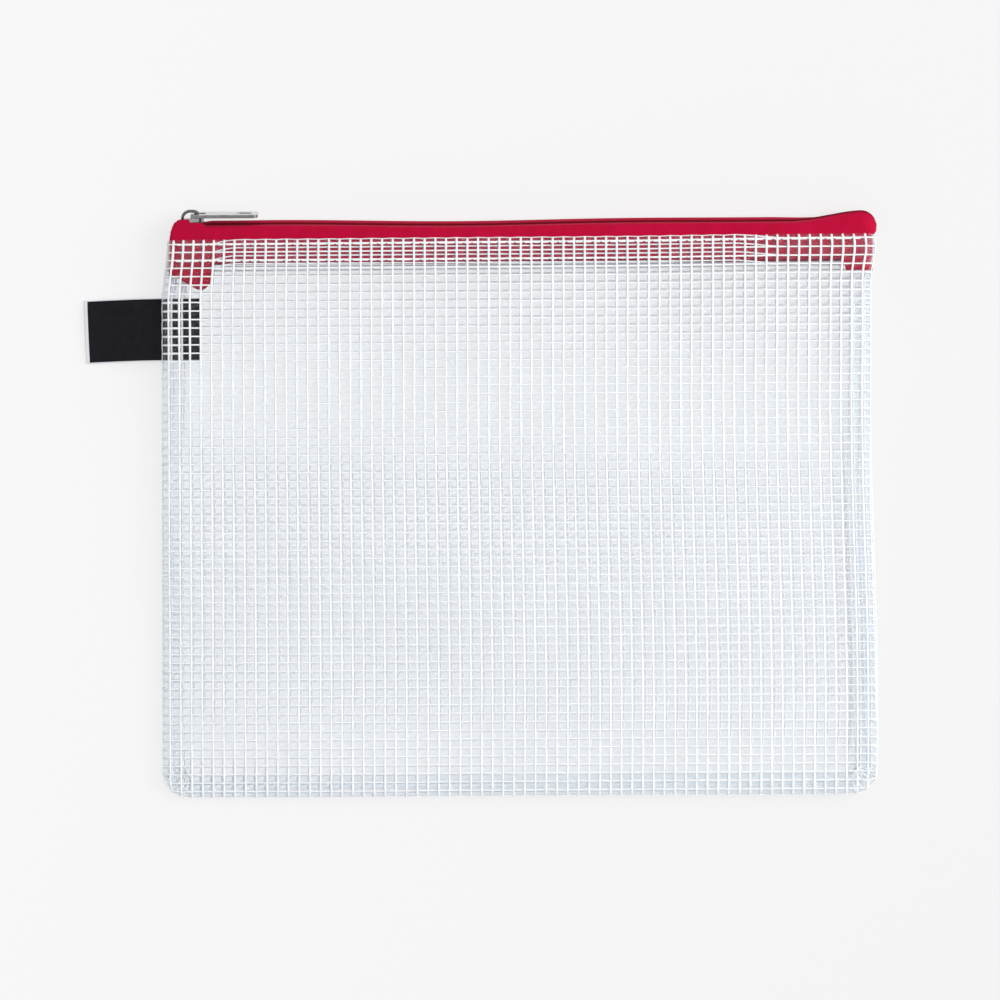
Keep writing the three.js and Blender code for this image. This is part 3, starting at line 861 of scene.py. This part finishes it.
def tape_material():
    """Red polyester tape woven with fine lengthwise ribs, and painted shade that darkens it towards the
    centre line, where the groove between the two halves lies in shade.
    """
    material, shader = new_material("red_tape", (188, 10, 54), 0.7, Specular_IOR_Level=0.06)
    place = flat_place(material)
    lengthwise = ribs(material, place, "Y", 0.62, 0.3)
    crosswise = ribs(material, place, "X", 0.34, 0.3)
    weave = calculate(material, "MULTIPLY", lengthwise, crosswise)
    patchy = calculate(material, "MULTIPLY", noise(material, place, 0.25, 4.0), 0.45)
    tone = calculate(material, "MULTIPLY_ADD", weave, 0.22, patchy)
    tone = calculate(material, "MINIMUM", calculate(material, "ADD", tone, 0.5), 1.0)
    axes = add_node(material, "ShaderNodeSeparateXYZ")
    link(material, place, axes.inputs[0])
    # Painted shade: the tone falls to the darkest colour near the centre line, standing in for the shade
    # in the groove between the halves.
    inside = add_node(material, "ShaderNodeMapRange")
    inside.inputs["From Min"].default_value = groove_shade_start
    inside.inputs["From Max"].default_value = groove_shade_end
    link(material, axes.outputs[1], inside.inputs["Value"])
    tone = calculate(material, "MULTIPLY", tone, inside.outputs[0])
    # The first, darkest colour is the painted groove shade; the other two are the weave's own tones.
    shade(material, shader, tone, (108, 2, 27), (165, 5, 45), (195, 11, 61))
    emboss(material, shader, weave, 0.05)
    return material


def ribbon_material(name, dark, light):
    """Tightly woven ribbon with its weft across it."""
    material, shader = new_material(name, light, 0.85, Specular_IOR_Level=0.1)
    place = flat_place(material)
    weft = ribs(material, place, "X", 0.3, 0.4)
    warp = ribs(material, place, "Y", 0.5, 0.2)
    weave = calculate(material, "MULTIPLY", weft, warp)
    tone = calculate(material, "ADD", weave, noise(material, place, 0.4, 3.0))
    shade(material, shader, calculate(material, "MULTIPLY", tone, 0.6), dark, light)
    emboss(material, shader, weave, 0.04)
    return material


def nylon_material():
    """Dyed monofilament, drawn out lengthwise."""
    material, shader = new_material("red_nylon", (150, 8, 40), 0.35)
    place = add_node(material, "ShaderNodeTexCoord").outputs["Object"]
    streaks = noise(material, place, 900.0, 2.0)
    shade(material, shader, streaks, (92, 2, 20), (128, 8, 36))
    emboss(material, shader, streaks, 0.02)
    return material


def metal_material(name, dark, light, smoothest, roughest):
    """Plating, brushed by use, with faint stains."""
    material, shader = new_material(name, light, roughest, Metallic=1.0)
    place = add_node(material, "ShaderNodeTexCoord").outputs["Object"]
    along = add_node(material, "ShaderNodeMapping", Scale=(60.0, 2500.0, 2500.0))
    link(material, place, along.inputs["Vector"])
    scratches = noise(material, along.outputs[0], 1.0, 3.0)
    stains = noise(material, place, 700.0, 3.0)
    shade(material, shader, stains, dark, light)
    rough = add_node(material, "ShaderNodeMapRange")
    rough.inputs["To Min"].default_value = smoothest
    rough.inputs["To Max"].default_value = roughest
    link(material, scratches, rough.inputs["Value"])
    link(material, rough.outputs[0], shader.inputs["Roughness"])
    emboss(material, shader, scratches, 0.006)
    return material


# Stage


def make_camera():
    """Camera straight over the pouch."""
    camera_data = bpy.data.cameras.new("camera")
    camera_data.lens = lens
    camera_data.sensor_width = sensor
    camera = bpy.data.objects.new("camera", camera_data)
    distance = view_width * lens / sensor
    camera.location = (view_x * MM, view_y * MM, (view_z + distance) * MM)
    camera.rotation_euler = (0, 0, -math.radians(view_turn))
    bpy.context.scene.collection.objects.link(camera)
    bpy.context.scene.camera = camera


def area_light(name, place, size, power, spin=0.0):
    """Rectangle of light aimed at the pouch, spun about its aim by an angle in degrees. Its place and
    size are in metres."""
    data = bpy.data.lights.new(name, "AREA")
    data.shape = "RECTANGLE"
    data.size, data.size_y = size
    data.energy = power
    light = bpy.data.objects.new(name, data)
    light.location = place
    aim = (-Vector(place)).to_track_quat("-Z", "Y")
    light.rotation_euler = (aim @ Quaternion((0, 0, 1), math.radians(spin))).to_euler()
    bpy.context.scene.collection.objects.link(light)


def make_floor():
    """White floor. Seen directly or mirrored it glows a little and its shadows are soft."""
    mesh = bpy.data.meshes.new("floor")
    corners = [(x * floor_size, y * floor_size, 0) for x, y in ((-1, -1), (1, -1), (1, 1), (-1, 1))]
    mesh.from_pydata(corners, [], [(0, 1, 2, 3)])
    floor = bpy.data.objects.new("floor", mesh)
    floor.location.z = floor_z * MM
    bpy.context.scene.collection.objects.link(floor)
    material, shader = new_material("floor", (240, 240, 240), 1.0, Specular_IOR_Level=0.0)
    ray = add_node(material, "ShaderNodeLightPath")
    seen = calculate(material, "MAXIMUM", ray.outputs["Is Camera Ray"], ray.outputs["Is Glossy Ray"])
    seen = calculate(material, "MAXIMUM", seen, ray.outputs["Is Transmission Ray"])
    grey = calculate(material, "MULTIPLY_ADD", seen, floor_diffuse - floor_bounce, floor_bounce)
    link(material, grey, shader.inputs["Base Color"])
    shader.inputs["Emission Color"].default_value = (1, 1, 1, 1)
    place = add_node(material, "ShaderNodeSeparateXYZ")
    link(material, add_node(material, "ShaderNodeTexCoord").outputs["Object"], place.inputs[0])
    slope = calculate(material, "MULTIPLY", place.outputs[0], -floor_slope)
    glow = calculate(material, "ADD", slope, floor_glow)
    link(material, calculate(material, "MULTIPLY", glow, seen), shader.inputs["Emission Strength"])
    mesh.materials.append(material)


def make_world():
    """White surroundings, brightest near the horizon, with a dark patch overhead."""
    world = bpy.data.worlds.new("world")
    world.use_nodes = True
    nodes, links = world.node_tree.nodes, world.node_tree.links
    direction = nodes.new("ShaderNodeTexCoord")
    nearness = nodes.new("ShaderNodeVectorMath")
    nearness.operation = "DOT_PRODUCT"
    nearness.inputs[1].default_value = Vector(overhead_aim).normalized()
    level = nodes.new("ShaderNodeMapRange")
    level.inputs["From Min"].default_value = math.cos(math.radians(overhead_edge))
    level.inputs["From Max"].default_value = math.cos(math.radians(overhead_core))
    level.inputs["To Min"].default_value = world_strength
    level.inputs["To Max"].default_value = overhead_strength
    height = nodes.new("ShaderNodeSeparateXYZ")
    low = nodes.new("ShaderNodeMapRange")
    low.inputs["From Max"].default_value = 0.5
    low.inputs["To Min"].default_value = horizon_strength
    low.inputs["To Max"].default_value = 0
    both = nodes.new("ShaderNodeMath")
    links.new(direction.outputs["Generated"], nearness.inputs[0])
    links.new(direction.outputs["Generated"], height.inputs[0])
    links.new(nearness.outputs["Value"], level.inputs["Value"])
    links.new(height.outputs["Z"], low.inputs["Value"])
    links.new(level.outputs[0], both.inputs[0])
    links.new(low.outputs[0], both.inputs[1])
    links.new(both.outputs[0], nodes["Background"].inputs["Strength"])
    nodes["Background"].inputs["Color"].default_value = (1, 1, 1, 1)
    bpy.context.scene.world = world


scene = bpy.context.scene
scene.view_settings.view_transform = "Standard"
scene.cycles.transparent_max_bounces = 48
make_camera()
make_world()
make_floor()
area_light("ceiling", (0.65, 0.1, 1.5), (0.8, 1.2), 5)
area_light("window", (0.85, 0.2, 0.7), (0.7, 0.7), 6)
area_light("strip", (0.05, 0.0, 1.6), (0.05, 1.8), 5, 45)

film = film_material()
white = thread_material()
red = tape_material()
black = ribbon_material("black_ribbon", (20, 20, 24), (38, 38, 43))
pale = ribbon_material("pale_selvage", (214, 216, 222), (246, 247, 250))
nylon = nylon_material()
cast = metal_material("cast_metal", (52, 54, 57), (136, 138, 139), 0.14, 0.34)
bright = metal_material("bright_metal", (158, 160, 164), (244, 245, 246), 0.05, 0.18)

front_film = film_panel("front_film", 1, "front_panel", film)
back_film = film_panel("back_film", -1, "back_panel", film)
front_mesh = mesh_threads("front_mesh", 1, white)
back_mesh = mesh_threads("back_mesh", -1, white)
front_stitches = hem_stitches("front_hem_stitches", 1, white)
back_stitches = hem_stitches("back_hem_stitches", -1, white)
front_tape = tape("zipper_tape_front", 1, "tape_front", red)
back_tape = tape("zipper_tape_back", -1, "tape_back", red)
tape_end = tape_fold("folded_tape_end", red)
coil("zipper_coil_front", 1, "coil_front", nylon)
coil("zipper_coil_back", -1, "coil_back", nylon)
label = label_piece("folded_label", black, pale)
for node, metal in (("slider_body", cast), ("pull_tab", bright)):
    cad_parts[node].data.materials.clear()
    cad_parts[node].data.materials.append(metal)
